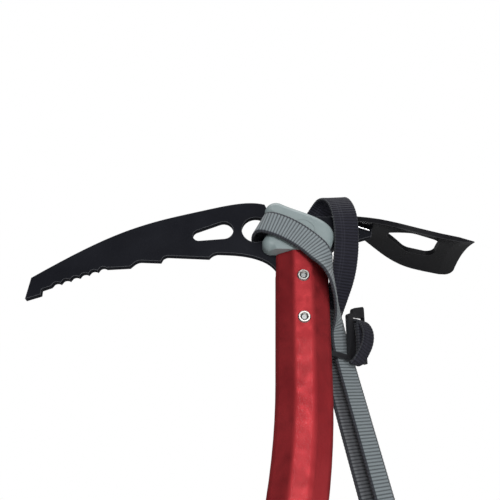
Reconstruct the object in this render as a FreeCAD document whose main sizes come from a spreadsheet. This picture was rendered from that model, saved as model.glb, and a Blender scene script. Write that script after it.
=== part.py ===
import FreeCAD, Part
import math
import os
import Sketcher

# An ice axe with its wrist leash. Millimetres. +Z runs up the straight upper shaft, the pick
# points along -X, the adze along +X, and Y is the thickness of the head. The origin is the
# centre of the large round hole in the head, on the mid-plane of the steel.

V = FreeCAD.Vector

DIMENSIONS = [
    ("blade_thickness", 4.0, "steel plate of the pick, tang and tongue"),
    ("head_hole_radius", 9.0, "round hole behind the pick"),
    ("adze_thickness", 3.5, "adze sheet"),
    ("adze_half_width", 22.7, "half the cutting edge of the adze"),
    ("shaft_axis", 28.4, "X of the straight upper shaft"),
    ("shaft_top", -18.3, "Z of the top rim of the tube"),
    ("shaft_width", 32.3, "section of the tube along X"),
    ("shaft_depth", 22.0, "section of the tube along Y"),
    ("shaft_facet", 10.8, "flat facet on the near and far sides"),
    ("shaft_edge", 6.0, "flat facet on the pick and adze sides"),
    ("shaft_wall", 1.8, "wall of the tube"),
    ("shaft_round", 5.0, "rounded corners of the tube's section"),
    ("shaft_straight", 79.7, "straight length under the head"),
    ("shaft_bend_radius", 390.0, "centre-line radius of the bend"),
    ("shaft_bend_angle", 14.0, "turn of the bend towards the pick, in degrees"),
    ("shaft_lower", 230.0, "straight length below the bend"),
    ("rivet_shank_radius", 2.4, "tubular rivet"),
    ("rivet_flange_radius", 3.8, "rolled edge of the tubular rivet"),
    ("rivet_flange_height", 1.0, "rolled edge above the facet"),
    ("rivet_pin_radius", 1.4, "pin inside the rivet"),
    ("rivet_mouth_depth", 1.4, "flared mouth of the rivet around the pin"),
    ("rivet_drop", 16.8, "first rivet below the rim"),
    ("rivet_pitch", 26.2, "between the two head rivets"),
    ("tang_depth", 57.7, "tang below the rim"),
    ("cover_depth", 11.6, "each cover half, from the mid-plane"),
    ("cover_round", 5.0, "outer edge of each cover half"),
    ("cover_hollow", 9.5, "depth of the hollow inside each cover half"),
    ("bolt_x", 28.0, "cross bolt of the covers"),
    ("bolt_z", -5.6, "cross bolt of the covers"),
    ("bolt_radius", 3.0, "shank of the cross bolt"),
    ("bolt_head_radius", 5.5, "head of the bolt, and its nut"),
    ("bolt_head_height", 2.7, "head of the bolt, and its nut"),
    ("plug_radius", 8.0, "round plug over the bolt"),
    ("plug_thickness", 1.8, "round plug over the bolt"),
    ("sleeve_top", 48.0, "top of the rubber grip, below the bend"),
    ("sleeve_length", 130.0, "rubber grip"),
    ("sleeve_thickness", 1.6, "rubber grip"),
    ("collar_length", 8.0, "ring above the grip"),
    ("spike_length", 62.0, "spike below the end plug"),
    ("spike_width", 24.0, "spike at the end plug"),
    ("spike_hole_radius", 6.5, "carabiner hole in the spike"),
    ("end_flange", 3.0, "flange of the end plug"),
    ("plug_length", 48.0, "end plug inside the tube"),
    ("webbing_width", 15.5, "leash webbing"),
    ("webbing_thickness", 1.8, "leash webbing"),
    ("slider_x", 50.2, "middle of the slide's ring, between the two strands"),
    ("slider_y", 17.0, "middle of the slide's ring, between the two strands"),
    ("slider_z", -77.3, "middle of the slide's ring, between the two strands"),
    ("slider_turn", 36.0, "turn of the slide's plate from the near side, in degrees"),
    ("slider_left", 3.0, "near edge of the slide's plate, from the ring's middle"),
    ("slider_right", 17.3, "far edge of the slide's plate, from the ring's middle"),
    ("slider_rise", 35.4, "tab of the slide above the ring's middle"),
    ("slider_plate", 2.6, "thickness of the slide's plate"),
    ("slider_gap", 5.7, "from the middle of the ring to the plate's inner face"),
    ("ring_height", 3.2, "ring around the strands"),
    ("ring_wall", 1.2, "ring around the strands"),
    ("pull_width", 8.8, "webbing of the pull loop"),
    ("pull_middle", 11.7, "middle of the pull loop's slot, along the plate's width"),
    ("strand_lean", 13.0, "lean of the two strands from upright, in degrees"),
    ("strand_offset", 3.2, "from the middle of the ring to each strand, across its face"),
    ("strand_shift", 2.4, "from the middle of the ring to each strand, along its width"),
]

doc = FreeCAD.newDocument("IceAxe")
sheet = doc.addObject("Spreadsheet::Sheet", "Dimensions")
for row, (alias, number, note) in enumerate(DIMENSIONS, start=1):
    sheet.set(f"A{row}", alias)
    sheet.set(f"B{row}", str(number))
    sheet.setAlias(f"B{row}", alias)
    sheet.set(f"C{row}", note)
doc.recompute()


def dim(alias):
    return float(sheet.get(alias))


# ---------------------------------------------------------------- building helpers

def new_body(label):
    body = doc.addObject("PartDesign::Body", label)
    body.Label = label
    return body


def new_sketch(body, role, name, lift=0.0):
    """A sketch on one of the body's own origin planes, lifted along the plane's normal."""
    plane = [item for item in body.Origin.OriginFeatures if item.Role == role][0]
    sketch = body.newObject("Sketcher::SketchObject", name)
    sketch.AttachmentSupport = [(plane, "")]
    sketch.MapMode = "FlatFace"
    sketch.AttachmentOffset = FreeCAD.Placement(V(0, 0, lift), FreeCAD.Rotation())
    return sketch


def add_outline(sketch, start, steps):
    """Closed outline: each step is (end,) for a line, (mid, end) for an arc and
    ("curve", point, ...) for a smooth curve through several points."""
    here = V(start[0], start[1], 0)
    for step in steps:
        if step[0] == "curve":
            points = [here] + [V(x, y, 0) for x, y in step[1:]]
            curve = Part.BSplineCurve()
            curve.interpolate(points)
            sketch.addGeometry(curve)
            here = points[-1]
            continue
        points = [V(x, y, 0) for x, y in step]
        if len(points) == 1:
            sketch.addGeometry(Part.LineSegment(here, points[0]))
        else:
            sketch.addGeometry(Part.Arc(here, points[0], points[1]))
        here = points[-1]


def add_polygon(sketch, corners):
    add_outline(sketch, corners[0], [(corner,) for corner in corners[1:] + corners[:1]])


def add_circle(sketch, x, z, radius_cell):
    """A circle whose radius is bound to a cell, or to an expression of cells."""
    index = sketch.addGeometry(Part.Circle(V(x, z, 0), V(0, 0, 1), 1.0))
    number = sketch.addConstraint(Sketcher.Constraint("Radius", index, 1.0))
    name = f"radius_{index}"
    sketch.renameConstraint(number, name)
    sketch.setExpression(f"Constraints.{name}", radius_cell)


def add_pad(body, sketch, length, symmetric=False, backwards=False):
    pad = body.newObject("PartDesign::Pad", f"{body.Name}_pad")
    pad.Profile = sketch
    pad.SideType = "Symmetric" if symmetric else "One side"
    pad.Reversed = backwards
    pad.setExpression("Length", length)
    doc.recompute()
    return pad


def add_pocket(body, sketch, length=None, backwards=False):
    """A pocket of a given depth, or right through in both directions. It has to cut."""
    before = body.Shape.Volume
    pocket = body.newObject("PartDesign::Pocket", f"{body.Name}_pocket")
    pocket.Profile = sketch
    if length is None:
        pocket.SideType = "Symmetric"
        pocket.Type = "ThroughAll"
    else:
        pocket.SideType = "One side"
        pocket.Reversed = backwards
        pocket.setExpression("Length", length)
    doc.recompute()
    if not body.Shape.Volume < before - 0.01:
        raise ValueError(f"{body.Label}: a pocket cut nothing")
    return pocket


def octagon(half_x, half_y, half_facet, half_edge):
    """Corners of the shaft's section: a flat facet on each side and a slope between."""
    quarter = [(half_facet, half_y), (half_x, half_edge)]
    right = [(x, y) for x, y in quarter] + [(x, -y) for x, y in reversed(quarter)]
    return right + [(-x, -y) for x, y in right]


def shaft_corners(offset):
    """Corners of the shaft's section, moved outwards, or inwards where the offset is negative."""
    half_x = dim("shaft_width") / 2 + offset
    half_y = dim("shaft_depth") / 2 + offset
    grow = offset * 0.4
    return octagon(half_x, half_y, dim("shaft_facet") / 2 + grow, dim("shaft_edge") / 2 + grow)


def add_shaft_section(sketch, offset, axis=0.0):
    """The shaft's section with its corners rounded."""
    radius = dim("shaft_round") + offset
    corners = [V(axis + x, y, 0) for x, y in shaft_corners(offset)]
    steps, count = [], len(corners)
    for index, corner in enumerate(corners):
        come = (corner - corners[index - 1]).normalize()
        leave = (corners[(index + 1) % count] - corner).normalize()
        half_turn = come.getAngle(leave) / 2
        reach = radius * math.tan(half_turn)
        first, last = corner - come * reach, corner + leave * reach
        inwards = (leave - come).normalize()
        middle = corner + inwards * (radius / math.cos(half_turn) - radius)
        steps += [((first.x, first.y),), ((middle.x, middle.y), (last.x, last.y))]
    add_outline(sketch, steps[-1][1], steps)


def lower_shaft_placement():
    """Places a sub-part drawn with its axis along -Z on the straight lower shaft."""
    angle = math.radians(dim("shaft_bend_angle"))
    radius = dim("shaft_bend_radius")
    x = dim("shaft_axis") - radius * (1 - math.cos(angle))
    z = dim("shaft_top") - dim("shaft_straight") - radius * math.sin(angle)
    turn = FreeCAD.Rotation(V(0, 1, 0), dim("shaft_bend_angle"))
    return FreeCAD.Placement(V(x, 0, z), turn)


# ---------------------------------------------------------------- the head

SLOT_ENDS = [(-35.7, -5.0, 3.9), (-20.5, -1.0, 6.2)]
SMALL_TEETH = 6
TOOTH_STEP = (5.3, 2.14)
FIRST_TOOTH = (-122.6, -41.4)
TOOTH_RISE = (1.3, 2.1)
TOOTH_HOLLOW = (3.2, 2.75)


def slot_outline():
    """A tapered slot: two end circles joined by their outer tangents."""
    (x0, z0, r0), (x1, z1, r1) = SLOT_ENDS
    span = math.hypot(x1 - x0, z1 - z0)
    along = math.atan2(z1 - z0, x1 - x0)
    lean = math.acos((r0 - r1) / span)

    def on(x, z, r, angle):
        return (x + r * math.cos(angle), z + r * math.sin(angle))

    upper0, upper1 = on(x0, z0, r0, along + lean), on(x1, z1, r1, along + lean)
    lower0, lower1 = on(x0, z0, r0, along - lean), on(x1, z1, r1, along - lean)
    end0, end1 = on(x0, z0, r0, along + math.pi), on(x1, z1, r1, along)
    return upper0, [(upper1,), (end1, lower1), (lower0,), (end0, upper0)]


def small_teeth():
    """Hooked teeth near the nose: a tip, a steep flank behind it and a hollow to the next."""
    steps = []
    for number in range(SMALL_TEETH):
        x = FIRST_TOOTH[0] + number * TOOTH_STEP[0]
        z = FIRST_TOOTH[1] + number * TOOTH_STEP[1]
        flank = (x + TOOTH_RISE[0], z + TOOTH_RISE[1])
        hollow = (x + TOOTH_HOLLOW[0], z + TOOTH_HOLLOW[1])
        steps += [(flank,), (hollow, (x + TOOTH_STEP[0], z + TOOTH_STEP[1]))]
    return [(FIRST_TOOTH,)] + steps


def build_head_blade():
    """Pick, tang and tongue cut from one steel plate."""
    body = new_body("head_blade")
    outline = new_sketch(body, "XZ_Plane", "blade_outline")
    tang_foot = dim("shaft_top") - dim("tang_depth")
    start = (-135.3, -36.5)
    nose = [((-136.6, -50.2),), ((-127.9, -47.0),), ((-128.0, -43.6),), ((-125.6, -42.6),)]
    large_teeth = [
        ((-76.7, -27.4),), ((-74.8, -25.4),), ((-72.9, -23.9), (-70.4, -23.2),),
        ((-58.2, -23.4),), ((-57.0, -20.8),), ((-55.4, -19.8), (-53.2, -19.5),),
        ((-28.6, -20.1),), ((-26.6, -18.0), (-23.4, -16.7),),
    ]
    under = [("curve", (-10.0, -17.2), (0.0, -19.1), (7.5, -22.4), (12.2, -26.7)), ((15.2, -31.0),)]
    tang = [((15.2, tang_foot + 4),), ((19.2, tang_foot),), ((37.8, tang_foot),),
            ((41.8, tang_foot + 4),), ((41.8, dim("shaft_top") + 0.3),), ((44.2, -18.0),)]
    tongue = [((48.8, -12.5), (54.0, -8.8),), ((64.0, -5.9),), ((72.4, -3.1),), ((73.2, 1.7),),
              ((68.0, 3.5),), ((54.0, 6.9),), ((53.8, 10.4),)]
    top = [((38.5, 10.2),), ((36.0, 8.6),), ((31.0, 7.8),), ((22.0, 10.8),), ((13.2, 13.6),),
           ((7.4, 13.8),), ((5.2, 18.4),),
           ("curve", (-1.0, 19.3), (-15.0, 17.9), (-35.0, 12.7), (-58.0, 6.0),
            (-82.1, -3.4), (-109.0, -18.5), start)]
    add_outline(outline, start, nose + small_teeth() + large_teeth + under + tang + tongue + top)
    add_pad(body, outline, "Dimensions.blade_thickness", symmetric=True)

    holes = new_sketch(body, "XZ_Plane", "blade_holes")
    add_circle(holes, 0, 0, "Dimensions.head_hole_radius")
    add_circle(holes, dim("bolt_x"), dim("bolt_z"), "Dimensions.bolt_radius + 0.1")
    for z in head_rivet_heights():
        add_circle(holes, dim("shaft_axis"), z, "Dimensions.rivet_shank_radius")
    slot_start, slot_steps = slot_outline()
    add_outline(holes, slot_start, slot_steps)
    add_pocket(body, holes)
    return body


# Stations of the adze: X, Z of the crown, drop of the edges below it, thickness.
ADZE_STATIONS = [
    (54.0, 10.8, 7.5, 3.5), (68.0, 7.2, 7.5, 3.5), (82.0, 3.3, 7.8, 3.5), (96.0, -0.5, 7.8, 3.5),
    (110.0, -5.0, 6.7, 3.4), (120.0, -8.9, 4.9, 3.2), (128.5, -13.0, 3.5, 0.7),
]


def build_adze_blade():
    """Arched sheet that widens from the tongue to the cutting edge."""
    body = new_body("adze_blade")
    half = dim("adze_half_width") + 2
    sections = []
    for x, crown, drop, thick in ADZE_STATIONS:
        edge = crown - drop * (half / dim("adze_half_width")) ** 2
        sketch = new_sketch(body, "YZ_Plane", "adze_section", x)
        add_outline(sketch, (-half, edge), [((0, crown), (half, edge)), ((half, edge - thick),),
                                            ((0, crown - thick), (-half, edge - thick)),
                                            ((-half, edge),)])
        sections.append(sketch)
    loft = body.newObject("PartDesign::AdditiveLoft", "adze_loft")
    loft.Profile = sections[0]
    loft.Sections = sections[1:]
    loft.Ruled = True
    doc.recompute()

    edge_x, wide = ADZE_STATIONS[-1][0], dim("adze_half_width")
    trim = new_sketch(body, "XY_Plane", "adze_plan")
    add_polygon(trim, [(40, -60), (150, -60), (150, 60), (40, 60)])
    right = [("curve", (63.0, 7.8), (70.5, 11.6), (78.5, 16.1), (88.6, 20.4), (97.0, 22.2), (106.0, wide))]
    left = [("curve", (97.0, -22.2), (88.6, -20.4), (78.5, -16.1), (70.5, -11.6), (63.0, -7.8), (53.0, -5.2))]
    tip = [((edge_x - 5, wide),), ((edge_x - 1.5, wide - 1.5), (edge_x, wide - 5),),
           ((edge_x, -wide),), ((106.0, -wide),)]
    add_outline(trim, (53.0, 5.2), right + tip + left + [((53.0, 5.2),)])
    add_pocket(body, trim)

    hole = new_sketch(body, "XY_Plane", "adze_hole")
    add_outline(hole, (84.0, -2.8), [((94.0, -10.2),), ((96.5, -11.4), (99.5, -11.6),),
                                     ((107.5, -10.9),), ((111.6, -9.0), (113.3, -5.0),),
                                     ((113.3, 5.0),), ((111.6, 9.0), (107.5, 10.9),),
                                     ((99.5, 11.6),), ((96.5, 11.4), (94.0, 10.2),),
                                     ((84.0, 2.8),), ((82.9, 0.0), (84.0, -2.8))])
    add_pocket(body, hole)
    return body


def build_adze_weld():
    """Two weld beads along the joint between the tongue and the adze."""
    beads = []
    for side in (-1, 1):
        y = side * (dim("blade_thickness") / 2 + 0.9)
        bead = Part.makeCylinder(0.85, 15.5, V(56.5, y, 5.2), V(13.9, 0, -4.3))
        beads.append(bead)
    feature = doc.addObject("Part::Feature", "adze_weld")
    feature.Label = "adze_weld"
    feature.Shape = Part.makeCompound(beads).cut(doc.getObject("adze_blade").Shape)
    feature.Placement = FreeCAD.Placement()
    return feature


def head_rivet_heights():
    first = dim("shaft_top") - dim("rivet_drop")
    return [first, first - dim("rivet_pitch")]


# ---------------------------------------------------------------- covers over the shaft top

def build_cover(label, side):
    """One moulded half of the cover. side is -1 for the near half and 1 for the far half."""
    body = new_body(label)
    backwards = side > 0
    outline = new_sketch(body, "XZ_Plane", f"{label}_outline")
    rim = dim("shaft_top") + 0.2
    add_outline(outline, (44.3, rim), [
        ("curve", (47.6, -10.6), (48.2, -5.4), (45.6, 0.2), (38.6, 5.6), (28.0, 10.3), (16.0, 15.2)),
        ((9.6, 15.6), (5.2, 8.4)), ((9.8, 0.0), (5.8, -7.7)),
        ((3.9, -11.5),), ((5.2, -16.0), (9.0, rim)), ((44.3, rim),)])
    add_pad(body, outline, "Dimensions.cover_depth", backwards=backwards)

    outer_y = side * dim("cover_depth")
    shape = body.Shape
    names = []
    for number, edge in enumerate(shape.Edges, start=1):
        box = edge.BoundBox
        on_outer_face = abs(box.YMin - outer_y) < 0.01 and abs(box.YMax - outer_y) < 0.01
        if on_outer_face and box.ZMax > rim + 0.5:
            names.append(f"Edge{number}")
    pad = body.Tip
    fillet = body.newObject("PartDesign::Fillet", f"{label}_round")
    fillet.Base = (pad, names)
    fillet.setExpression("Radius", "Dimensions.cover_round")
    doc.recompute()

    recess = new_sketch(body, "XZ_Plane", f"{label}_recess")
    add_polygon(recess, [(0, 25), (6, 25), (7.8, 14.0), (13.3, 13.8), (22, 11.0), (31, 8.0),
                         (36.2, 8.8), (38.3, 10.5), (60, 10.5), (60, -30), (0, -30)])
    add_pocket(body, recess, "Dimensions.blade_thickness / 2", not backwards)

    hollow = new_sketch(body, "XZ_Plane", f"{label}_hollow")
    add_polygon(hollow, [(15, rim), (15, 8), (30, 3.8), (40, -1.6), (43, -8), (41, rim)])
    add_circle(hollow, dim("bolt_x"), dim("bolt_z"), "Dimensions.plug_radius + 1.6")
    add_pocket(body, hollow, "Dimensions.cover_hollow", not backwards)

    for name, radius, depth in (
            ("plug_seat", "Dimensions.plug_radius", "Dimensions.plug_thickness"),
            ("bolt_seat", "Dimensions.bolt_head_radius + 0.1",
             "Dimensions.plug_thickness + Dimensions.bolt_head_height"),
            ("bolt_way", "Dimensions.bolt_radius + 0.1", "Dimensions.cover_depth")):
        seat = new_sketch(body, "XZ_Plane", f"{label}_{name}", -side * dim("cover_depth"))
        add_circle(seat, dim("bolt_x"), dim("bolt_z"), radius)
        add_pocket(body, seat, depth, backwards)
    return body


def build_cover_plug(label, side):
    body = new_body(label)
    face = -side * dim("cover_depth")
    disc = new_sketch(body, "XZ_Plane", f"{label}_disc", face + side * 0.05)
    add_circle(disc, dim("bolt_x"), dim("bolt_z"), "Dimensions.plug_radius - 0.1")
    add_pad(body, disc, "Dimensions.plug_thickness - 0.1", backwards=side < 0)
    return body


def build_cover_fastener(label, side, with_shank):
    """The cross bolt with its head on the near side, or the nut on the far side."""
    body = new_body(label)
    face = dim("cover_depth") - dim("plug_thickness")
    head = new_sketch(body, "XZ_Plane", f"{label}_head", -side * face)
    add_circle(head, dim("bolt_x"), dim("bolt_z"), "Dimensions.bolt_head_radius")
    if not with_shank:
        add_circle(head, dim("bolt_x"), dim("bolt_z"), "Dimensions.bolt_radius")
    add_pad(body, head, "Dimensions.bolt_head_height", backwards=side < 0)
    if with_shank:
        shank = new_sketch(body, "XZ_Plane", f"{label}_shank", -side * face)
        add_circle(shank, dim("bolt_x"), dim("bolt_z"), "Dimensions.bolt_radius")
        add_pad(body, shank, "2 * (Dimensions.cover_depth - Dimensions.plug_thickness)",
                backwards=side < 0)
    return body


# ---------------------------------------------------------------- the shaft

def build_shaft_tube():
    """Eight-sided tube: straight, then bent towards the pick, then straight again."""
    body = new_body("shaft_tube")
    axis, top = dim("shaft_axis"), dim("shaft_top")
    section = new_sketch(body, "XY_Plane", "tube_section", top)
    for offset in (0.0, -dim("shaft_wall")):
        add_shaft_section(section, offset, axis)

    angle, radius = math.radians(dim("shaft_bend_angle")), dim("shaft_bend_radius")
    bend_top = top - dim("shaft_straight")

    def on_bend(turn):
        return V(axis - radius * (1 - math.cos(turn)), bend_top - radius * math.sin(turn), 0)

    foot = on_bend(angle) + V(-math.sin(angle), -math.cos(angle), 0) * dim("shaft_lower")
    spine = new_sketch(body, "XZ_Plane", "tube_axis")
    spine.addGeometry(Part.LineSegment(V(axis, top, 0), on_bend(0)))
    spine.addGeometry(Part.Arc(on_bend(0), on_bend(angle / 2), on_bend(angle)))
    spine.addGeometry(Part.LineSegment(on_bend(angle), foot))
    pipe = body.newObject("PartDesign::AdditivePipe", "tube_pipe")
    pipe.Profile = section
    pipe.Spine = (spine, ["Edge1", "Edge2", "Edge3"])
    doc.recompute()

    notch = new_sketch(body, "YZ_Plane", "tube_notch", axis - dim("shaft_width") / 2 - 2)
    half = dim("blade_thickness") / 2 + 0.1
    add_outline(notch, (-half, top + 1), [((-half, top - 12),), ((0, top - 12 - half), (half, top - 12)),
                                          ((half, top + 1),), ((-half, top + 1),)])
    add_pocket(body, notch, "Dimensions.shaft_wall + 4", True)

    holes = new_sketch(body, "XZ_Plane", "tube_rivet_holes")
    for z in head_rivet_heights():
        add_circle(holes, axis, z, "Dimensions.rivet_shank_radius")
    turn = lower_shaft_placement()
    for depth in spike_rivet_depths():
        place = turn.multVec(V(0, 0, -depth))
        add_circle(holes, place.x, place.z, "Dimensions.rivet_shank_radius")
    add_pocket(body, holes)
    return body


def build_tang_spacer(label, side):
    """Block that fills the tube between the tang and the wall on one side."""
    body = new_body(label)
    axis, top = dim("shaft_axis"), dim("shaft_top")
    inner = [(x, y) for x, y in shaft_corners(-dim("shaft_wall") - 0.7) if y * side > 0]
    inner.sort(key=lambda corner: (abs(corner[1]), corner[0]))
    low = dim("blade_thickness") / 2 + 0.02
    wide = max(x for x, y in inner)
    edge = min(abs(y) for x, y in inner)
    facet = max(x for x, y in inner if abs(y) > edge + 1)
    high = max(abs(y) for x, y in inner)
    corners = [(-wide, low), (wide, low), (wide, edge), (facet, high), (-facet, high), (-wide, edge)]
    block = new_sketch(body, "XY_Plane", f"{label}_section", top - dim("tang_depth") - 2)
    add_polygon(block, [(axis + x, y * side) for x, y in corners])
    add_pad(body, block, "Dimensions.tang_depth + 2")
    holes = new_sketch(body, "XZ_Plane", f"{label}_holes")
    for z in head_rivet_heights():
        add_circle(holes, axis, z, "Dimensions.rivet_shank_radius")
    add_pocket(body, holes)
    return body


def rivet_shapes(height_list, flange_face):
    """Tubular rivets through the shaft along Y, and the pins that expand them."""
    shank, flange = dim("rivet_shank_radius"), dim("rivet_flange_radius")
    pin, rise = dim("rivet_pin_radius"), dim("rivet_flange_height")
    half, mouth_depth = flange_face + rise, dim("rivet_mouth_depth")
    tubes, pins = [], []
    for x, z in height_list:
        tube = Part.makeCylinder(shank, 2 * half, V(x, -half, z), V(0, 1, 0))
        for side in (-1, 1):
            base = V(x, side * flange_face, z)
            tube = tube.fuse(Part.makeCone(flange, flange - rise * 0.6, rise, base, V(0, side, 0)))
        tube = tube.cut(Part.makeCylinder(pin, 2 * half + 2, V(x, -half - 1, z), V(0, 1, 0)))
        for side in (-1, 1):
            mouth = V(x, side * (half - mouth_depth), z)
            tube = tube.cut(Part.makeCone(pin, pin + 1.0, mouth_depth, mouth, V(0, side, 0)))
        tubes.append(tube.removeSplitter())
        inner = half - mouth_depth + 0.3
        pins.append(Part.makeCylinder(pin, 2 * inner, V(x, -inner, z), V(0, 1, 0)))
    return tubes, pins


def add_feature(label, shapes, placement=None):
    feature = doc.addObject("Part::Feature", label)
    feature.Label = label
    feature.Shape = shapes[0] if len(shapes) == 1 else Part.makeCompound(shapes)
    if placement is not None:
        feature.Placement = placement
    return feature


def build_head_rivets():
    places = [(dim("shaft_axis"), z) for z in head_rivet_heights()]
    tubes, pins = rivet_shapes(places, dim("shaft_depth") / 2)
    return [add_feature("head_rivets", tubes), add_feature("head_rivet_pins", pins)]


# ---------------------------------------------------------------- grip and spike

def spike_rivet_depths():
    return [dim("shaft_lower") - 38, dim("shaft_lower") - 14]


def build_shaft_ring(label, top_depth, length, offset):
    """A ring around the lower shaft, drawn along -Z and placed on the bent shaft."""
    body = new_body(label)
    section = new_sketch(body, "XY_Plane", f"{label}_section", -dim_of(top_depth))
    add_shaft_section(section, 0.15 + offset)
    add_shaft_section(section, 0.15)
    add_pad(body, section, length, backwards=True)
    body.Placement = lower_shaft_placement()
    return body


def dim_of(cells):
    """Adds up cells given by name."""
    return sum(dim(cell) for cell in cells)


def build_end_plug():
    """Plug that closes the tube and holds the spike's tang."""
    body = new_body("end_plug")
    depth = dim("shaft_lower")
    block = new_sketch(body, "XY_Plane", "plug_section", -depth)
    add_shaft_section(block, -dim("shaft_wall") - 0.1)
    add_pad(body, block, "Dimensions.plug_length")
    flange = new_sketch(body, "XY_Plane", "plug_flange", -depth)
    add_shaft_section(flange, 0.0)
    add_pad(body, flange, "Dimensions.end_flange", backwards=True)
    slot = new_sketch(body, "YZ_Plane", "plug_slot")
    half = dim("blade_thickness") / 2 + 0.02
    low = -depth - dim("end_flange") - 1
    add_polygon(slot, [(-half, low), (half, low), (half, -depth + 44), (-half, -depth + 44)])
    add_pocket(body, slot)
    holes = new_sketch(body, "XZ_Plane", "plug_holes")
    for rivet in spike_rivet_depths():
        add_circle(holes, 0, -rivet, "Dimensions.rivet_shank_radius")
    add_pocket(body, holes)
    body.Placement = lower_shaft_placement()
    return body


def build_spike():
    """Flat spike with a tang in the end plug, a carabiner hole and a point."""
    body = new_body("spike")
    depth = dim("shaft_lower")
    shoulder = -depth - dim("end_flange")
    half, tip = dim("spike_width") / 2, shoulder - dim("spike_length")
    outline = new_sketch(body, "XZ_Plane", "spike_outline")
    add_outline(outline, (-13.9, -depth + 43.9), [
        ((13.9, -depth + 43.9),), ((13.9, shoulder - 0.05),), ((half, shoulder - 5),),
        ("curve", (half - 1.5, shoulder - 22), (5.5, shoulder - 40), (1.2, tip)),
        ((0, tip - 0.8), (-1.2, tip)),
        ("curve", (-5.5, shoulder - 40), (-half + 1.5, shoulder - 22), (-half, shoulder - 5)),
        ((-13.9, shoulder - 0.05),), ((-13.9, -depth + 43.9),)])
    add_pad(body, outline, "Dimensions.blade_thickness", symmetric=True)
    holes = new_sketch(body, "XZ_Plane", "spike_holes")
    add_circle(holes, 0, spike_hole_height(), "Dimensions.spike_hole_radius")
    for rivet in spike_rivet_depths():
        add_circle(holes, 0, -rivet, "Dimensions.rivet_shank_radius")
    add_pocket(body, holes)
    body.Placement = lower_shaft_placement()
    return body


def spike_hole_height():
    return -dim("shaft_lower") - dim("end_flange") - 14.0


def build_spike_rivets():
    tubes, pins = rivet_shapes([(0, -depth) for depth in spike_rivet_depths()], dim("shaft_depth") / 2)
    place = lower_shaft_placement()
    return [add_feature("spike_rivets", tubes, place), add_feature("spike_rivet_pins", pins, place)]


# ---------------------------------------------------------------- the slide of the leash

def slider_middle():
    return V(dim("slider_x"), dim("slider_y"), dim("slider_z"))


def slider_placement():
    """Local X is across the plate, towards the pull loop. Local Y is along its width."""
    return FreeCAD.Placement(slider_middle(), FreeCAD.Rotation(V(0, 0, 1), dim("slider_turn") - 90))


# Route of the pull loop's middle line beside the slide: out from the plate, along its width, up.
PULL_ROUTE = [
    (5.9, 11.7, 24.8), (10.3, 11.7, 24.8), (15.2, 12.4, 17.4), (15.4, 11.4, 9.0),
    (12.8, 8.4, 1.2), (10.2, 6.2, -3.5), (7.6, 6.0, -3.5),
]
# Outline of the end of the webbing that is folded inside the loop: up, and out from the plate.
FOLD_OUTLINE = [(22.0, 8.3), (22.0, 10.0), (18.5, 12.2), (14.0, 13.0), (9.5, 12.6), (4.4, 10.6), (1.8, 8.3)]


def build_slider_frame():
    """Slotted plate outside the strands, with a ring around them at its foot."""
    body = new_body("slider_frame")
    gap, wall = dim("slider_gap"), dim("ring_wall")
    left, right = dim("slider_left"), dim("slider_right")
    foot, top = -dim("ring_height") / 2, dim("slider_rise")
    face = new_sketch(body, "YZ_Plane", "slider_face", gap)
    add_outline(face, (left, foot), [
        ((right, foot),), ((right, top - 1.6),), ((right - 0.6, top - 0.4), (right - 2, top - 0.5)),
        ((left + 6.0, top - 2.7),), ((left + 4.9, top - 3.4), (left + 4.4, top - 4.6)),
        ((left + 3.9, top - 6.8),), ((left + 1.4, top - 7.4),),
        ((left + 0.4, top - 8.0), (left, top - 9.0)), ((left, foot),)])
    slot, middle, low = dim("pull_width") / 2 + 0.2, dim("pull_middle"), PULL_ROUTE[0][2] - 1.1
    add_polygon(face, [(middle - slot, low), (middle + slot, low),
                       (middle + slot, low + 4.2), (middle - slot, low + 3.0)])
    add_pad(body, face, "Dimensions.slider_plate")

    ring = new_sketch(body, "XY_Plane", "slider_ring", foot)
    inside = dim("webbing_width") / 2 + dim("strand_shift") + 0.9
    add_polygon(ring, [(-gap - wall, -inside - wall), (gap + wall, -inside - wall),
                       (gap + wall, inside + wall), (-gap - wall, inside + wall)])
    add_polygon(ring, [(-gap, -inside), (gap, -inside), (gap, inside), (-gap, inside)])
    add_pad(body, ring, "Dimensions.ring_height")
    body.Placement = slider_placement()
    return body


# ---------------------------------------------------------------- the leash webbing

STRAND_TOP = -12.0
STRAND_END = 112.0
STRAND_BOW = 0.15

# Route of the webbing's middle line with the direction of its width, from the head hole over
# the near cover half to the slide.
FRONT_ROUTE = [
    ((1.2, 0.0, 0.2), (0.46, 0.0, 0.89)),
    ((1.2, -7.0, 0.2), (0.46, 0.0, 0.89)),
    ((5.2, -13.6, -0.4), (0.46, 0.0, 0.89)),
    ((14.0, -14.6, -3.4), (0.46, 0.0, 0.89)),
    ((23.0, -14.4, -8.0), (0.5, 0.03, 0.86)),
    ((31.5, -14.6, -14.3), (0.56, 0.1, 0.82)),
    ((39.0, -15.6, -22.5), (0.56, 0.16, 0.81)),
    ((43.9, -12.4, -32.0), (0.25, 0.78, 0.57)),
    ((47.6, -4.4, -42.0), (0.15, 0.87, 0.47)),
    ((50.1, 8.0, -51.6), (0.22, 0.88, 0.4)),
]

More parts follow.
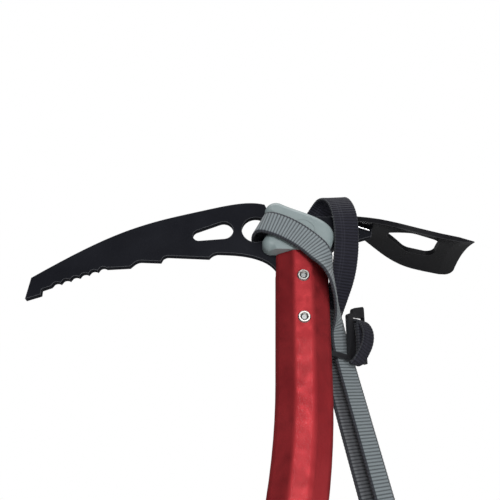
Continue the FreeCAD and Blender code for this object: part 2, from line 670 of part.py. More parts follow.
# From the slide in front of the neck, over it and behind the covers back to the hole.
REAR_ROUTE = [
    ((46.2, 19.0, -54.5), (0.82, 0.56, 0.1)),
    ((50.6, 11.6, -41.0), (0.88, 0.42, 0.05)),
    ((53.9, 1.8, -29.8), (0.96, 0.22, 0.0)),
    ((55.4, -5.8, -18.0), (0.97, 0.22, 0.0)),
    ((55.8, -9.2, -6.0), (0.97, 0.22, 0.05)),
    ((55.2, -10.6, 6.0), (0.99, 0.06, 0.1)),
    ((53.5, -7.9, 16.6), (0.98, 0.1, 0.15)),
    ((50.8, -2.0, 24.6), (0.97, 0.15, 0.2)),
    ((47.4, 5.8, 26.8), (0.94, 0.25, 0.1)),
    ((43.8, 12.6, 22.4), (0.93, 0.25, -0.25)),
    ((38.6, 15.2, 14.4), (0.85, 0.1, -0.5)),
    ((31.0, 15.4, 8.4), (0.62, 0.0, -0.78)),
    ((22.0, 15.0, 4.4), (0.35, 0.0, -0.94)),
    ((13.0, 14.6, 2.0), (0.1, 0.0, -0.99)),
    ((5.0, 12.8, 0.9), (-0.2, 0.0, -0.98)),
    ((1.2, 6.8, 0.2), (-0.42, 0.0, -0.91)),
    ((1.2, 0.0, 0.2), (-0.46, 0.0, -0.89)),
]

# Half of the wrist loop: distance from its middle line, and distance below the slide.
LOOP_HALF = [(8.0, 129.0), (16.0, 144.0), (24.5, 161.0), (29.5, 180.0), (27.5, 199.0), (17.0, 214.5)]
LOOP_FOOT = 221.0


def strand_frame():
    """Directions across the strands' faces, along their width and down them."""
    lean, turn = math.radians(dim("strand_lean")), math.radians(dim("slider_turn"))
    down = V(math.sin(lean), 0, -math.cos(lean))
    width = V(math.cos(turn), math.sin(turn), 0)
    width = (width - down * width.dot(down)).normalize()
    return width.cross(-down), width, down


def strand_point(across, along_width, below):
    """A point beside the line that the slide moves along."""
    face, width, down = strand_frame()
    return slider_middle() + face * across + width * along_width + down * below


def leash_route():
    """Points of the whole leash and the direction of the webbing's width at each."""
    width = strand_frame()[1]
    offset, shift = dim("strand_offset"), dim("strand_shift")
    third = (STRAND_END - STRAND_TOP) / 3
    straight = [(STRAND_TOP, 0.0), (STRAND_TOP + third, STRAND_BOW),
                (STRAND_END - third, STRAND_BOW), (STRAND_END, 0.0)]
    route = [(V(*point), V(*across)) for point, across in FRONT_ROUTE]
    route += [(strand_point(offset + bow, shift, below), width) for below, bow in straight]
    for across, below in LOOP_HALF:
        route.append((strand_point(across, shift * 0.5, below), width))
    route.append((strand_point(0, 0, LOOP_FOOT), width))
    for across, below in reversed(LOOP_HALF):
        route.append((strand_point(-across, -shift * 0.5, below), width))
    route += [(strand_point(-offset - bow, -shift, below), width)
              for below, bow in reversed(straight)]
    route += [(V(*point), V(*across)) for point, across in REAR_ROUTE]
    return route


def rounded_stations(route, arc_parts=4):
    """Stations along straight runs joined by tangent arcs: position, direction and width
    direction, with each arc's radius and the length of the path."""
    points = [point for point, across in route]
    stations = [(points[0], (points[1] - points[0]).normalize(), route[0][1])]
    radii, length = [], 0.0
    for index in range(1, len(route) - 1):
        here, across = route[index]
        come = (here - points[index - 1])
        leave = (points[index + 1] - here)
        shorter = min(come.Length, leave.Length)
        come.normalize()
        leave.normalize()
        turn = come.getAngle(leave)
        reach = 0.45 * shorter
        radius = reach / math.tan(turn / 2)
        radii.append(radius)
        axis = come.cross(leave).normalize()
        start = here - come * reach
        centre = start + axis.cross(come) * radius
        for part in range(arc_parts + 1):
            spin = FreeCAD.Rotation(axis, math.degrees(turn) * part / arc_parts)
            place = centre + spin.multVec(start - centre)
            stations.append((place, spin.multVec(come), across))
    stations.append((points[-1], (points[-1] - points[-2]).normalize(), route[-1][1]))
    return stations, radii


def webbing_section(place, along, across, full_width):
    """Corners of the webbing's rectangle, square to the path."""
    width = (across - along * across.dot(along)).normalize()
    thick = along.cross(width)
    w, t = width * (full_width / 2), thick * (dim("webbing_thickness") / 2)
    return [place + w + t, place - w + t, place - w - t, place + w - t]


def webbing_solid(stations, full_width):
    """Closed solid through the sections at all the stations, with flat ends."""
    sections = [webbing_section(*station, full_width) for station in stations]
    faces = []
    for corners in (sections[0], sections[-1]):
        faces.append(Part.Face(Part.makePolygon(corners + corners[:1])))
    for here, there in zip(sections, sections[1:]):
        for side in range(4):
            first = Part.makeLine(here[side], here[(side + 1) % 4])
            second = Part.makeLine(there[side], there[(side + 1) % 4])
            faces.append(Part.makeRuledSurface(first, second, 1))
    shell = Part.makeShell(faces)
    shell.sewShape()
    solid = Part.makeSolid(shell)
    if solid.Volume < 0:
        solid.reverse()
    return solid


def build_pull_loop():
    """Webbing that leaves the slot, bulges out and tucks in under the plate, with its end
    folded inside."""
    stations, radii = rounded_stations([(V(*point), V(0, 1, 0)) for point in PULL_ROUTE])
    loop = webbing_solid(stations, dim("pull_width"))
    corners = [V(out, 0, up) for up, out in FOLD_OUTLINE]
    fold = Part.Face(Part.makePolygon(corners + corners[:1]))
    width = dim("pull_width") - 1.5
    fold.translate(V(0, dim("pull_middle") - 1.0 - width / 2, 0))
    return add_feature("pull_loop", [loop, fold.extrude(V(0, width, 0))], slider_placement())


def build_leash():
    """The webbing in five solids that meet face to face."""
    route = leash_route()
    stations, radii = rounded_stations(route)
    print("leash radii mm:", " ".join(f"{radius:.0f}" for radius in radii))
    per_point = 5
    front = 1 + per_point * (len(FRONT_ROUTE) - 1)
    strand = front + per_point * 4
    loop = strand + per_point * (2 * len(LOOP_HALF) + 1)
    rear = loop + per_point * 4
    cuts = [("leash_over_cover", 0, front), ("leash_front_strand", front, strand),
            ("leash_wrist_loop", strand, loop), ("leash_rear_strand", loop, rear),
            ("leash_behind_cover", rear, len(stations) - 1)]
    features, total = [], 0.0
    for label, first, last in cuts:
        solid = webbing_solid(stations[first:last + 1], dim("webbing_width"))
        length = sum((stations[i + 1][0] - stations[i][0]).Length for i in range(first, last))
        section = dim("webbing_width") * dim("webbing_thickness")
        print(f"{label}: length {length:.1f} mm, volume over section x length "
              f"{solid.Volume / (section * length):.3f}")
        total += length
        features.append(add_feature(label, [solid]))
    print(f"leash length {total:.1f} mm")
    return features


# ---------------------------------------------------------------- the whole axe

def build_all():
    parts = [build_head_blade(), build_adze_blade(), build_adze_weld()]
    for label, side in (("cover_near", -1), ("cover_far", 1)):
        parts.append(build_cover(label, side))
    for label, side in (("cover_plug_near", -1), ("cover_plug_far", 1)):
        parts.append(build_cover_plug(label, side))
    parts.append(build_cover_fastener("cover_bolt", -1, True))
    parts.append(build_cover_fastener("cover_nut", 1, False))
    parts.append(build_shaft_tube())
    for label, side in (("tang_spacer_near", -1), ("tang_spacer_far", 1)):
        parts.append(build_tang_spacer(label, side))
    parts += build_head_rivets()
    sleeve = "Dimensions.sleeve_length"
    parts.append(build_shaft_ring("grip_sleeve", ["sleeve_top"], sleeve, dim("sleeve_thickness")))
    parts.append(build_shaft_ring("grip_collar", ["sleeve_top"], "-Dimensions.collar_length",
                                  dim("sleeve_thickness") + 0.8))
    parts += [build_end_plug(), build_spike()] + build_spike_rivets()
    parts += [build_slider_frame(), build_pull_loop()]
    parts += build_leash()
    return parts


def check_all(parts):
    doc.recompute()
    for item in doc.Objects:
        if "Invalid" in item.State or "Error" in item.State:
            raise ValueError(f"{item.Label}: {item.State}")
    for part in parts:
        if part.Shape.isNull() or not part.Shape.isValid() or not part.Shape.Solids:
            raise ValueError(f"{part.Label}: no valid solid")


def main():
    parts = build_all()
    check_all(parts)
    os.makedirs("parts", exist_ok=True)
    for part in parts:
        part.Shape.exportStep(f"parts/{part.Label}.step")
        box = part.Shape.BoundBox
        print(f"{part.Label:20s} solids {len(part.Shape.Solids)} volume {part.Shape.Volume / 1000:8.2f} cm3"
              f"  x {box.XMin:.1f}..{box.XMax:.1f} y {box.YMin:.1f}..{box.YMax:.1f}"
              f" z {box.ZMin:.1f}..{box.ZMax:.1f}")


main()
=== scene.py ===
import math

import bmesh
import bpy
from mathutils import Matrix, Vector


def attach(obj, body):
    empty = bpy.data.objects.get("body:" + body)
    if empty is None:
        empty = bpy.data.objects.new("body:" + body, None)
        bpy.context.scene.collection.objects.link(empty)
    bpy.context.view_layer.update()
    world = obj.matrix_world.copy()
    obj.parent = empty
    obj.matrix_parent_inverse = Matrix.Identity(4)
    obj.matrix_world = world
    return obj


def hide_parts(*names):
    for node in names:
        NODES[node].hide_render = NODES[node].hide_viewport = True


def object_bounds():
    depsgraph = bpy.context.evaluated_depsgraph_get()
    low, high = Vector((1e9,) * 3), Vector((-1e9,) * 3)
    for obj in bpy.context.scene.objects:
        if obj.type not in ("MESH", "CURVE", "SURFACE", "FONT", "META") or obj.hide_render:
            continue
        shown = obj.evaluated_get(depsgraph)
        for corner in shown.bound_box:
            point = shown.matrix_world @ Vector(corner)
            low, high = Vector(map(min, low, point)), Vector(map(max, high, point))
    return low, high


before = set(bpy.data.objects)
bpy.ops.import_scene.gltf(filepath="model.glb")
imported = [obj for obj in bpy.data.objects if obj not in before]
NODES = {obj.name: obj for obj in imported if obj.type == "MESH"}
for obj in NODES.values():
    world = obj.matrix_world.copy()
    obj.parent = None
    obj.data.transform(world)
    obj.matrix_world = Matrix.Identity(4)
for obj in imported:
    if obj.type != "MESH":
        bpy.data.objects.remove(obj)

# An ice axe with a wrist leash. Metres. The origin is the centre of the round hole in the
# head, +Z runs up the upper shaft, -X towards the pick and -Y towards the viewer.

CAD_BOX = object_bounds()


# ---------------------------------------------------------------- material helpers

def new_material(name):
    """A material with its node tree, output and principled shader."""
    material = bpy.data.materials.new(name)
    material.use_nodes = True
    tree = material.node_tree
    return material, tree, tree.nodes["Principled BSDF"]


def add_node(tree, kind, **inputs):
    """A node with some of its inputs set by name."""
    node = tree.nodes.new(kind)
    for key, value in inputs.items():
        node.inputs[key.replace("_", " ")].default_value = value
    return node


def ramp(tree, source, stops):
    """A colour ramp on a value, from (position, colour) stops."""
    node = tree.nodes.new("ShaderNodeValToRGB")
    elements = node.color_ramp.elements
    while len(elements) < len(stops):
        elements.new(0.5)
    for element, (position, colour) in zip(elements, stops):
        element.position = position
        element.color = (*colour, 1.0)
    tree.links.new(source, node.inputs["Fac"])
    return node.outputs["Color"]


def noise_texture(tree, scale, detail=4.0):
    """Noise in the object's own coordinates, in features per metre."""
    place = tree.nodes.new("ShaderNodeTexCoord")
    noise = add_node(tree, "ShaderNodeTexNoise", Scale=scale, Detail=detail)
    tree.links.new(place.outputs["Object"], noise.inputs["Vector"])
    return noise.outputs["Fac"]


def bump(tree, shader, height, strength, distance):
    """Raises and lowers the shaded surface by a height value."""
    node = add_node(tree, "ShaderNodeBump", Strength=strength, Distance=distance)
    tree.links.new(height, node.inputs["Height"])
    tree.links.new(node.outputs["Normal"], shader.inputs["Normal"])


def worn_and_highlit_edges(tree, base, wear_and_highlight, radius=0.0007):
    """Mixes a paler colour in along sharp edges, where a bevelled normal leaves the true one; it
    is partly wear and partly a painted highlight along the edges.
    """
    geometry = tree.nodes.new("ShaderNodeNewGeometry")
    bevel = add_node(tree, "ShaderNodeBevel", Radius=radius)
    bevel.samples = 6
    agree = tree.nodes.new("ShaderNodeVectorMath")
    agree.operation = "DOT_PRODUCT"
    tree.links.new(geometry.outputs["Normal"], agree.inputs[0])
    tree.links.new(bevel.outputs["Normal"], agree.inputs[1])
    edge = ramp(tree, agree.outputs["Value"], [(0.8, (0.8, 0.8, 0.8)), (0.97, (0, 0, 0))])
    mix = tree.nodes.new("ShaderNodeMix")
    mix.data_type = "RGBA"
    tree.links.new(edge, mix.inputs["Factor"])
    tree.links.new(base, mix.inputs["A"])
    mix.inputs["B"].default_value = (*wear_and_highlight, 1.0)
    return mix.outputs["Result"]


def coated_metal(name, dark, light, roughness, grain, metallic=0.0, wear_and_highlight=None, coat=0.0,
                 specular=0.5, grain_strength=0.22):
    """Painted or blackened metal: slow colour change, fine grain and paler edges, which are partly
    wear and partly painted edge highlights.
    """
    material, tree, shader = new_material(name)
    colour = ramp(tree, noise_texture(tree, 38.0), [(0.3, dark), (0.72, light)])
    if wear_and_highlight is not None:
        colour = worn_and_highlit_edges(tree, colour, wear_and_highlight)
    tree.links.new(colour, shader.inputs["Base Color"])
    rough = ramp(tree, noise_texture(tree, 160.0, 6.0),
                 [(0.25, (roughness * 0.8,) * 3), (0.8, (roughness * 1.25,) * 3)])
    tree.links.new(rough, shader.inputs["Roughness"])
    shader.inputs["Metallic"].default_value = metallic
    shader.inputs["Coat Weight"].default_value = coat
    shader.inputs["Specular IOR Level"].default_value = specular
    bump(tree, shader, noise_texture(tree, grain, 5.0), grain_strength, 0.0004)
    return material


def bare_metal(name, colour, roughness):
    """Bright machined metal with a fine grain."""
    material, tree, shader = new_material(name)
    marks = noise_texture(tree, 900.0, 3.0)
    shade = ramp(tree, marks, [(0.3, tuple(c * 0.75 for c in colour)), (0.7, colour)])
    tree.links.new(shade, shader.inputs["Base Color"])
    shader.inputs["Metallic"].default_value = 1.0
    rough = ramp(tree, marks, [(0.2, (roughness * 0.8,) * 3), (0.8, (roughness * 1.3,) * 3)])
    tree.links.new(rough, shader.inputs["Roughness"])
    bump(tree, shader, marks, 0.12, 0.0002)
    return material


def moulded_plastic(name, dark, light, roughness, grain=1400.0, strength=0.18):
    """Satin moulded plastic with a fine spark-eroded texture."""
    material, tree, shader = new_material(name)
    colour = ramp(tree, noise_texture(tree, 60.0), [(0.3, dark), (0.7, light)])
    tree.links.new(colour, shader.inputs["Base Color"])
    rough = ramp(tree, noise_texture(tree, 240.0),
                 [(0.2, (roughness * 0.85,) * 3), (0.8, (roughness * 1.15,) * 3)])
    tree.links.new(rough, shader.inputs["Roughness"])
    bump(tree, shader, noise_texture(tree, grain, 3.0), strength, 0.0003)
    return material


def maths(tree, operation, source, factor=None, addend=None):
    """A maths node on one value and up to two numbers."""
    node = tree.nodes.new("ShaderNodeMath")
    node.operation = operation
    tree.links.new(source, node.inputs[0])
    for index, number in ((1, factor), (2, addend)):
        if number is not None:
            node.inputs[index].default_value = number
    return node


def woven_wave(tree, source, turns):
    """A wave from 0 to 1 that repeats a number of times in each unit of a coordinate."""
    turn = maths(tree, "MULTIPLY", source, 2 * math.pi * turns)
    wave = maths(tree, "COSINE", turn.outputs["Value"])
    return maths(tree, "MULTIPLY_ADD", wave.outputs["Value"], 0.5, 0.5).outputs["Value"]


def across_profile(tree, source, stops):
    """Grey levels across the webbing's width, from (position, level) stops."""
    return ramp(tree, source, [(position, (level,) * 3) for position, level in stops])


def tinted(tree, colour, mask, tint):
    """Mixes a tint in where the mask is white."""
    mix = tree.nodes.new("ShaderNodeMix")
    mix.data_type = "RGBA"
    tree.links.new(mask, mix.inputs["Factor"])
    tree.links.new(colour, mix.inputs["A"])
    mix.inputs["B"].default_value = (*tint, 1.0)
    return mix.outputs["Result"]


WARP_THREADS = 34.0


def webbing_material(name, dark, light, sheen, selvedge=None, lines=None, specular=0.5):
    """Woven tape: ribs across the width, and the warp threads that cross them. The selvedge is
    the colour of its two edges, and lines that of two fine stripes along it."""
    material, tree, shader = new_material(name)
    uv = tree.nodes.new("ShaderNodeUVMap")
    split = tree.nodes.new("ShaderNodeSeparateXYZ")
    tree.links.new(uv.outputs["UV"], split.inputs["Vector"])
    weave = maths(tree, "MULTIPLY_ADD", woven_wave(tree, split.outputs["X"], WARP_THREADS), 0.25)
    tree.links.new(woven_wave(tree, split.outputs["Y"], 1.0), weave.inputs[2])
    fuzz = maths(tree, "MULTIPLY_ADD", noise_texture(tree, 1500.0, 3.0), 0.45)
    tree.links.new(weave.outputs["Value"], fuzz.inputs[2])
    colour = ramp(tree, fuzz.outputs["Value"], [(0.22, dark), (1.0, light)])
    if lines is not None:
        stripes = across_profile(tree, split.outputs["X"], [
            (0.27, 0), (0.29, 0.7), (0.31, 0), (0.38, 0), (0.4, 0.7), (0.42, 0)])
        colour = tinted(tree, colour, stripes, lines)
    if selvedge is not None:
        edges = across_profile(tree, split.outputs["X"], [
            (0.06, 1), (0.1, 0), (0.9, 0), (0.94, 1)])
        colour = tinted(tree, colour, edges, selvedge)
    tree.links.new(colour, shader.inputs["Base Color"])
    shader.inputs["Roughness"].default_value = 0.72
    shader.inputs["Specular IOR Level"].default_value = specular
    shader.inputs["Sheen Weight"].default_value = sheen
    shader.inputs["Sheen Roughness"].default_value = 0.4
    bump(tree, shader, fuzz.outputs["Value"], 0.7, 0.0003)
    return material


# The paler edge colours of the steel and the adze are partly wear and partly painted highlights.
STEEL = coated_metal("coated_steel", (0.0075, 0.008, 0.0115), (0.0125, 0.0135, 0.018), 0.46,
                     700.0, wear_and_highlight=(0.17, 0.175, 0.19), specular=0.05)
ADZE = coated_metal("coated_adze", (0.004, 0.004, 0.005), (0.009, 0.009, 0.011), 0.3, 500.0,
                    wear_and_highlight=(0.06, 0.061, 0.066), specular=0.25, grain_strength=0.05)
RED = coated_metal("red_anodised", (0.36, 0.027, 0.034), (0.45, 0.041, 0.048), 0.6, 1500.0,
                   metallic=0.85, coat=0.02)
WELD = bare_metal("weld_bead", (0.8, 0.8, 0.82), 0.18)
RIVET = bare_metal("rivet_rim", (0.46, 0.45, 0.43), 0.3)
PIN = bare_metal("fastener_steel", (0.3, 0.31, 0.31), 0.35)
COVER = moulded_plastic("cover_plastic", (0.23, 0.285, 0.288), (0.275, 0.33, 0.335), 0.45)
BLACK_PLASTIC = moulded_plastic("black_plastic", (0.012, 0.012, 0.014), (0.02, 0.02, 0.022), 0.38)
RUBBER = moulded_plastic("grip_rubber", (0.01, 0.01, 0.01), (0.018, 0.018, 0.018), 0.7, 900.0, 0.4)
GREY_FACE = webbing_material("webbing_grey", (0.045, 0.056, 0.062), (0.235, 0.27, 0.285), 0.22,
                             selvedge=(0.012, 0.016, 0.024))
BLACK_FACE = webbing_material("webbing_black", (0.003, 0.003, 0.006), (0.016, 0.016, 0.027), 0.06,
                              lines=(0.04, 0.04, 0.055), specular=0.25)
# A darker copy of the grey webbing: painted shade on the leash's inner face.
GREY_FACE_PAINTED_SHADE = webbing_material("webbing_grey_painted_shade", (0.016, 0.018, 0.022), (0.15, 0.157, 0.17), 0.15,
                             selvedge=(0.008, 0.01, 0.014))
EDGE = webbing_material("webbing_edge", (0.006, 0.007, 0.01), (0.03, 0.033, 0.042), 0.15)

NODE_LOOKS = {
    "head_blade": STEEL, "adze_blade": ADZE, "adze_weld": WELD,
    "cover_near": COVER, "cover_far": COVER, "cover_plug_near": COVER, "cover_plug_far": COVER,
    "cover_bolt": PIN, "cover_nut": PIN, "shaft_tube": RED,
    "tang_spacer_near": BLACK_PLASTIC, "tang_spacer_far": BLACK_PLASTIC,
    "head_rivets": RIVET, "head_rivet_pins": PIN, "grip_sleeve": RUBBER, "grip_collar": RUBBER,
    "end_plug": BLACK_PLASTIC, "spike": STEEL, "spike_rivets": RIVET, "spike_rivet_pins": PIN,
    "slider_frame": BLACK_PLASTIC,
}
for node_name, look in NODE_LOOKS.items():
    NODES[node_name].data.materials.clear()
    NODES[node_name].data.materials.append(look)


# ---------------------------------------------------------------- camera

LEAN = math.radians(27.0)
ROLL = math.radians(1.19)
CAMERA_PLACE = (-0.003548, -0.3471, -0.190444)
LENS, SENSOR_WIDTH = 45.0, 36.0


def make_camera():
    """Below the head and looking up at it, with a slight roll."""
    right, up = Vector((1, 0, 0)), Vector((0, -math.sin(LEAN), math.cos(LEAN)))
    forward = Vector((0, math.cos(LEAN), math.sin(LEAN)))
    rolled_right = right * math.cos(ROLL) + up * math.sin(ROLL)
    rolled_up = up * math.cos(ROLL) - right * math.sin(ROLL)
    camera = bpy.data.objects.new("camera", bpy.data.cameras.new("camera"))
    camera.data.lens = LENS
    camera.data.sensor_width = SENSOR_WIDTH
    camera.data.clip_start = 0.01
    turn = Matrix((rolled_right, rolled_up, -forward)).transposed()
    camera.matrix_world = Matrix.Translation(CAMERA_PLACE) @ turn.to_4x4()
    bpy.context.scene.collection.objects.link(camera)
    bpy.context.scene.camera = camera


make_camera()


# ---------------------------------------------------------------- leash webbing

WEBBING_WIDTH = 0.0155
WEBBING_THICKNESS = 0.0018
RIB_PITCH = 0.0019
STEPS_PER_RIB = 4
# Shares of the leash's length: from the first, the inner face is dark grey, the grey face with
# shade painted in, and from the second, at the slide on the way back, both faces are black.
PALE_FROM, DARK_FROM = 0.2, 0.8

SLIDE_MIDDLE = Vector((0.0502, 0.017, -0.0773))
STRAND_LEAN = math.radians(13.0)
SLIDE_TURN = math.radians(36.0)
STRAND_OFFSET, STRAND_SHIFT = 0.0032, 0.0024
STRAND_TOP, STRAND_END, STRAND_BOW = -0.012, 0.112, 0.00015

# Control points and the direction of the webbing's width, from the head hole over the near
# cover half to the slide.
FRONT_ROUTE = [
    ((0.0012, 0.0, 0.0002), (0.46, 0.0, 0.89)),
    ((0.0012, -0.0070, 0.0002), (0.46, 0.0, 0.89)),
    ((0.0052, -0.0136, -0.0004), (0.46, 0.0, 0.89)),
    ((0.0140, -0.0146, -0.0034), (0.46, 0.0, 0.89)),
    ((0.0230, -0.0144, -0.0080), (0.5, 0.03, 0.86)),
    ((0.0315, -0.0146, -0.0143), (0.56, 0.1, 0.82)),
    ((0.0390, -0.0156, -0.0225), (0.56, 0.16, 0.81)),
    ((0.0439, -0.0124, -0.0320), (0.25, 0.78, 0.57)),
    ((0.0476, -0.0044, -0.0420), (0.15, 0.87, 0.47)),
    ((0.0501, 0.0080, -0.0516), (0.22, 0.88, 0.4)),
]

# From the slide in front of the neck, over it and behind the covers back to the hole.
REAR_ROUTE = [
    ((0.0462, 0.0190, -0.0545), (0.82, 0.56, 0.1)),
    ((0.0506, 0.0116, -0.0410), (0.88, 0.42, 0.05)),
    ((0.0539, 0.0018, -0.0298), (0.96, 0.22, 0.0)),
    ((0.0554, -0.0058, -0.0180), (0.97, 0.22, 0.0)),
    ((0.0558, -0.0092, -0.0060), (0.97, 0.22, 0.05)),
    ((0.0552, -0.0106, 0.0060), (0.99, 0.06, 0.1)),
    ((0.0535, -0.0079, 0.0166), (0.98, 0.1, 0.15)),
    ((0.0508, -0.0020, 0.0246), (0.97, 0.15, 0.2)),
    ((0.0474, 0.0058, 0.0268), (0.94, 0.25, 0.1)),
    ((0.0438, 0.0126, 0.0224), (0.93, 0.25, -0.25)),
    ((0.0386, 0.0152, 0.0144), (0.85, 0.1, -0.5)),
    ((0.0310, 0.0154, 0.0084), (0.62, 0.0, -0.78)),
    ((0.0220, 0.0150, 0.0044), (0.35, 0.0, -0.94)),
    ((0.0130, 0.0146, 0.0020), (0.1, 0.0, -0.99)),
    ((0.0050, 0.0128, 0.0009), (-0.2, 0.0, -0.98)),
    ((0.0012, 0.0068, 0.0002), (-0.42, 0.0, -0.91)),
    ((0.0012, 0.0, 0.0002), (-0.46, 0.0, -0.89)),
]

# Half of the wrist loop: distance from its middle line, and distance below the slide.
LOOP_HALF = [(0.0080, 0.129), (0.0160, 0.144), (0.0245, 0.161), (0.0295, 0.180),
             (0.0275, 0.199), (0.0170, 0.2145)]
LOOP_FOOT = 0.221


def strand_frame():
    """Directions across the strands' faces, along their width and down them."""
    down = Vector((math.sin(STRAND_LEAN), 0, -math.cos(STRAND_LEAN)))
    width = Vector((math.cos(SLIDE_TURN), math.sin(SLIDE_TURN), 0))
    width = (width - down * width.dot(down)).normalized()
    return width.cross(-down), width, down


def strand_point(across, along_width, below):
    """A point beside the line that the slide moves along."""
    face, width, down = strand_frame()
    return SLIDE_MIDDLE + face * across + width * along_width + down * below


def leash_route():
    """Control points of the whole leash, and the direction of its width at each."""
    width = strand_frame()[1]
    third = (STRAND_END - STRAND_TOP) / 3
    straight = [(STRAND_TOP, 0.0), (STRAND_TOP + third, STRAND_BOW),
                (STRAND_END - third, STRAND_BOW), (STRAND_END, 0.0)]
    route = [(Vector(point), Vector(across)) for point, across in FRONT_ROUTE]
    route += [(strand_point(STRAND_OFFSET + bow, STRAND_SHIFT, below), width)
              for below, bow in straight]
    for across, below in LOOP_HALF:
        route.append((strand_point(across, STRAND_SHIFT * 0.5, below), width))
    route.append((strand_point(0, 0, LOOP_FOOT), width))
    for across, below in reversed(LOOP_HALF):
        route.append((strand_point(-across, -STRAND_SHIFT * 0.5, below), width))
    route += [(strand_point(-STRAND_OFFSET - bow, -STRAND_SHIFT, below), width)
              for below, bow in reversed(straight)]
    route += [(Vector(point), Vector(across)) for point, across in REAR_ROUTE]
    return route


def smooth_line(name, points):
    """Points along a NURBS curve that has the given control points."""
    curve = bpy.data.curves.new(name, "CURVE")
    curve.dimensions = "3D"
    curve.resolution_u = 24
    spline = curve.splines.new("NURBS")
    spline.points.add(len(points) - 1)
    for point, place in zip(spline.points, points):
        point.co = (*place, 1.0)
    spline.order_u = 3
    spline.use_endpoint_u = True
    holder = bpy.data.objects.new(name, curve)
    bpy.context.scene.collection.objects.link(holder)
    bpy.context.view_layer.update()
    mesh = bpy.data.meshes.new_from_object(holder)
    line = [vertex.co.copy() for vertex in mesh.vertices]
    bpy.data.objects.remove(holder)
    bpy.data.meshes.remove(mesh)
    return line


def evenly(line, sides, step):
    """The line and its side directions again, at even steps along it."""
    distance = [0.0]
    for here, there in zip(line, line[1:]):
        distance.append(distance[-1] + (there - here).length)
    count = max(2, round(distance[-1] / step))
    places, turns, index = [], [], 0
    for number in range(count + 1):
        target = distance[-1] * number / count
        while index < len(distance) - 2 and distance[index + 1] < target:
            index += 1
        span = max(distance[index + 1] - distance[index], 1e-9)
        part = min(max((target - distance[index]) / span, 0.0), 1.0)
        places.append(line[index].lerp(line[index + 1], part))
        turns.append(sides[index].lerp(sides[index + 1], part))
    return places, turns


# Half of the section, from the grey face to the black one: share of the half width, share of
# the half thickness, and how much the ribs lift it.
SECTION = [(-0.93, 1.0, 1.0), (-0.62, 1.0, 1.0), (-0.31, 1.0, 1.0), (0.0, 1.0, 1.0),
           (0.31, 1.0, 1.0), (0.62, 1.0, 1.0), (0.93, 1.0, 1.0), (1.0, 0.55, 0.6),
           (1.0, -0.55, 0.6), (0.93, -1.0, 1.0), (0.62, -1.0, 1.0), (0.31, -1.0, 1.0),
           (0.0, -1.0, 1.0), (-0.31, -1.0, 1.0), (-0.62, -1.0, 1.0), (-0.93, -1.0, 1.0),
           (-1.0, -0.55, 0.6), (-1.0, 0.55, 0.6)]
OUTER, INNER, RIM, PAINTED_SHADE_INNER = range(4)
FACE_LOOKS = [OUTER] * 6 + [RIM] * 3 + [INNER] * 6 + [RIM] * 3
# How far the ribs ripple the edges and the faces, as shares of the half width and thickness.
EDGE_RIPPLE, FACE_RIPPLE = 0.012, 0.06


def webbing_mesh(name, line, sides, width, thickness, looks, dark_from=1.0, pale_from=1.0):
    """Ribbed webbing along a line. looks are those of its outer face, inner face, edges and
    paler inner face, which is the grey face with shade painted in. The inner face is the paler one
    from pale_from to dark_from, as shares of the length, and after dark_from the outer face looks
    like the inner one."""
    places, turns = evenly(line, sides, RIB_PITCH / STEPS_PER_RIB)
    mesh = bmesh.new()
    uv = mesh.loops.layers.uv.new("uv")
    rings = []
    for index, (place, turn) in enumerate(zip(places, turns)):
        before, after = places[max(index - 1, 0)], places[min(index + 1, len(places) - 1)]
        along = (after - before).normalized()
        across = (turn - along * turn.dot(along)).normalized()
        normal = along.cross(across)
        rib = math.cos(2 * math.pi * index / STEPS_PER_RIB)
        ring = []
        for wide, thick, lift in SECTION:
            half_w = width / 2 * (1 + EDGE_RIPPLE * rib) * wide
            half_t = thickness / 2 * (1 - FACE_RIPPLE + FACE_RIPPLE * rib * lift) * thick
            ring.append(mesh.verts.new(place + across * half_w + normal * half_t))
        rings.append(ring)
    count = len(SECTION)
    for index, (ring, following) in enumerate(zip(rings, rings[1:])):
        for side in range(count):
            beside = (side + 1) % count
            face = mesh.faces.new((ring[side], ring[beside], following[beside], following[side]))
            look, share = FACE_LOOKS[side], index / len(rings)
            if look == OUTER and share > dark_from:
                look = INNER
            elif look == INNER and pale_from < share <= dark_from:
                look = PAINTED_SHADE_INNER
            face.material_index = look
            face.smooth = True
            across_uv = (SECTION[side][0] * 0.5 + 0.5, SECTION[beside][0] * 0.5 + 0.5)
            along_uv = (index / STEPS_PER_RIB, (index + 1) / STEPS_PER_RIB)
            corners = ((0, 0), (1, 0), (1, 1), (0, 1))
            for loop, (a, b) in zip(face.loops, corners):
                loop[uv].uv = (across_uv[a], along_uv[b])
    mesh.faces.new(rings[0])
    mesh.faces.new(list(reversed(rings[-1])))
    bmesh.ops.recalc_face_normals(mesh, faces=mesh.faces)
    data = bpy.data.meshes.new(name)
    mesh.to_mesh(data)
    mesh.free()
    for look in looks:
        data.materials.append(look)
    piece = bpy.data.objects.new(name, data)
    bpy.context.scene.collection.objects.link(piece)
    return piece, places


def make_leash():
    """The whole strap, in place of its five stretches in the CAD."""
    route = leash_route()
    line = smooth_line("leash_line", [point for point, across in route])
    beside = smooth_line("leash_side", [point + across.normalized() * 0.01
                                        for point, across in route])
    sides = [edge - centre for edge, centre in zip(beside, line)]
    leash, places = webbing_mesh(
        "leash_webbing", line, sides, WEBBING_WIDTH, WEBBING_THICKNESS,
        (GREY_FACE, BLACK_FACE, EDGE, GREY_FACE_PAINTED_SHADE), dark_from=DARK_FROM, pale_from=PALE_FROM)
    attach(leash, "axe")
    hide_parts("leash_over_cover", "leash_front_strand", "leash_wrist_loop",
                "leash_rear_strand", "leash_behind_cover")


make_leash()


# ---------------------------------------------------------------- pull loop on the slide

PULL_WIDTH = 0.0088
FOLD_WIDTH = PULL_WIDTH - 0.0015

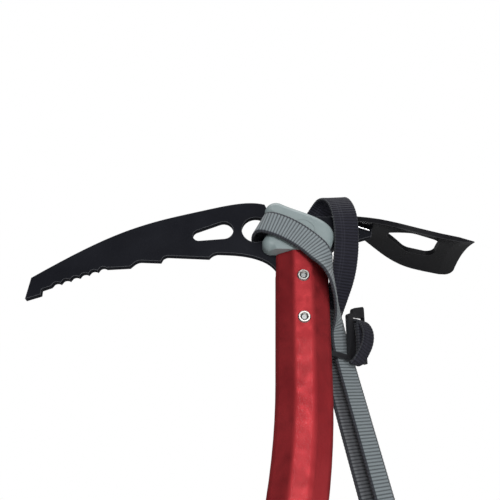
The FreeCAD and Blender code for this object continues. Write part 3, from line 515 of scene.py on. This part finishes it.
# Beside the slide: out from its plate, along the plate's width, up.
PULL_ROUTE = [(0.0059, 0.0117, 0.0248), (0.0103, 0.0117, 0.0248), (0.0152, 0.0124, 0.0174),
              (0.0154, 0.0114, 0.0090), (0.0128, 0.0084, 0.0012), (0.0102, 0.0062, -0.0035),
              (0.0076, 0.0060, -0.0035)]
# The end of the webbing, folded double inside the loop.
FOLD_ROUTE = [(0.0102, 0.0107, 0.0028), (0.0108, 0.0107, 0.0075), (0.0109, 0.0107, 0.0130),
              (0.0106, 0.0107, 0.0180), (0.0102, 0.0107, 0.0218)]


def make_pull_loop():
    """The loop of webbing on the slide and the folded end inside it."""
    face = Vector((math.sin(SLIDE_TURN), -math.cos(SLIDE_TURN), 0))
    width = Vector((math.cos(SLIDE_TURN), math.sin(SLIDE_TURN), 0))
    up = Vector((0, 0, 1))
    for name, route, wide, thick in (
            ("pull_loop_webbing", PULL_ROUTE, PULL_WIDTH, WEBBING_THICKNESS),
            ("pull_loop_fold", FOLD_ROUTE, FOLD_WIDTH, 2 * WEBBING_THICKNESS)):
        points = [SLIDE_MIDDLE + face * out + width * aside + up * high
                  for out, aside, high in route]
        line = smooth_line(name + "_line", points)
        loop = webbing_mesh(name, line, [width] * len(line), wide, thick,
                            (BLACK_FACE, BLACK_FACE, EDGE))[0]
        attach(loop, "slider")
        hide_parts("pull_loop")


make_pull_loop()


# ---------------------------------------------------------------- floor and light

FLOOR_HALF = 2.0
FLOOR_GAP = 0.004


def make_floor():
    """A pale square just under the object."""
    material, tree, shader = new_material("studio_floor")
    shade = ramp(tree, noise_texture(tree, 3.0),
                 [(0.3, (0.86, 0.86, 0.86)), (0.7, (0.9, 0.9, 0.9))])
    tree.links.new(shade, shader.inputs["Base Color"])
    shader.inputs["Roughness"].default_value = 0.8
    mesh = bmesh.new()
    half, height = FLOOR_HALF, CAD_BOX[0].z - FLOOR_GAP
    corners = [(-half, -half), (half, -half), (half, half), (-half, half)]
    mesh.faces.new([mesh.verts.new((x, y, height)) for x, y in corners])
    data = bpy.data.meshes.new("floor")
    mesh.to_mesh(data)
    mesh.free()
    data.materials.append(material)
    floor = bpy.data.objects.new("floor", data)
    bpy.context.scene.collection.objects.link(floor)


def make_lamp(name, place, target, size, power):
    """A soft rectangular lamp aimed at a point."""
    lamp = bpy.data.lights.new(name, "AREA")
    lamp.shape = "RECTANGLE"
    lamp.size, lamp.size_y = size
    lamp.energy = power
    holder = bpy.data.objects.new(name, lamp)
    holder.location = place
    holder.rotation_euler = (Vector(target) - Vector(place)).to_track_quat("-Z", "Y").to_euler()
    bpy.context.scene.collection.objects.link(holder)


def make_world():
    """White behind the object, and a softer white that lights it."""
    world = bpy.data.worlds.new("studio")
    world.use_nodes = True
    tree = world.node_tree
    tree.nodes.clear()
    path = tree.nodes.new("ShaderNodeLightPath")
    seen = add_node(tree, "ShaderNodeBackground", Color=(1, 1, 1, 1), Strength=1.0)
    lit = add_node(tree, "ShaderNodeBackground", Color=(0.97, 0.98, 1, 1), Strength=0.16)
    mix = tree.nodes.new("ShaderNodeMixShader")
    output = tree.nodes.new("ShaderNodeOutputWorld")
    tree.links.new(path.outputs["Is Camera Ray"], mix.inputs["Fac"])
    tree.links.new(lit.outputs["Background"], mix.inputs[1])
    tree.links.new(seen.outputs["Background"], mix.inputs[2])
    tree.links.new(mix.outputs["Shader"], output.inputs["Surface"])
    bpy.context.scene.world = world


bpy.context.scene.view_settings.view_transform = "Standard"
make_floor()
make_world()
for name, place, target, size, power in (
        ("key_lamp", (0.0, -0.9, 0.05), (0.02, 0.0, -0.08), (0.35, 0.35), 4.6),
        ("top_lamp", (0.0, -0.05, 0.9), (0.0, 0.0, 0.0), (0.9, 0.5), 5.5),
        ("side_lamp", (0.7, -0.55, -0.3), (0.07, 0.0, -0.18), (0.25, 0.25), 1.8)):
    make_lamp(name, place, target, size, power)
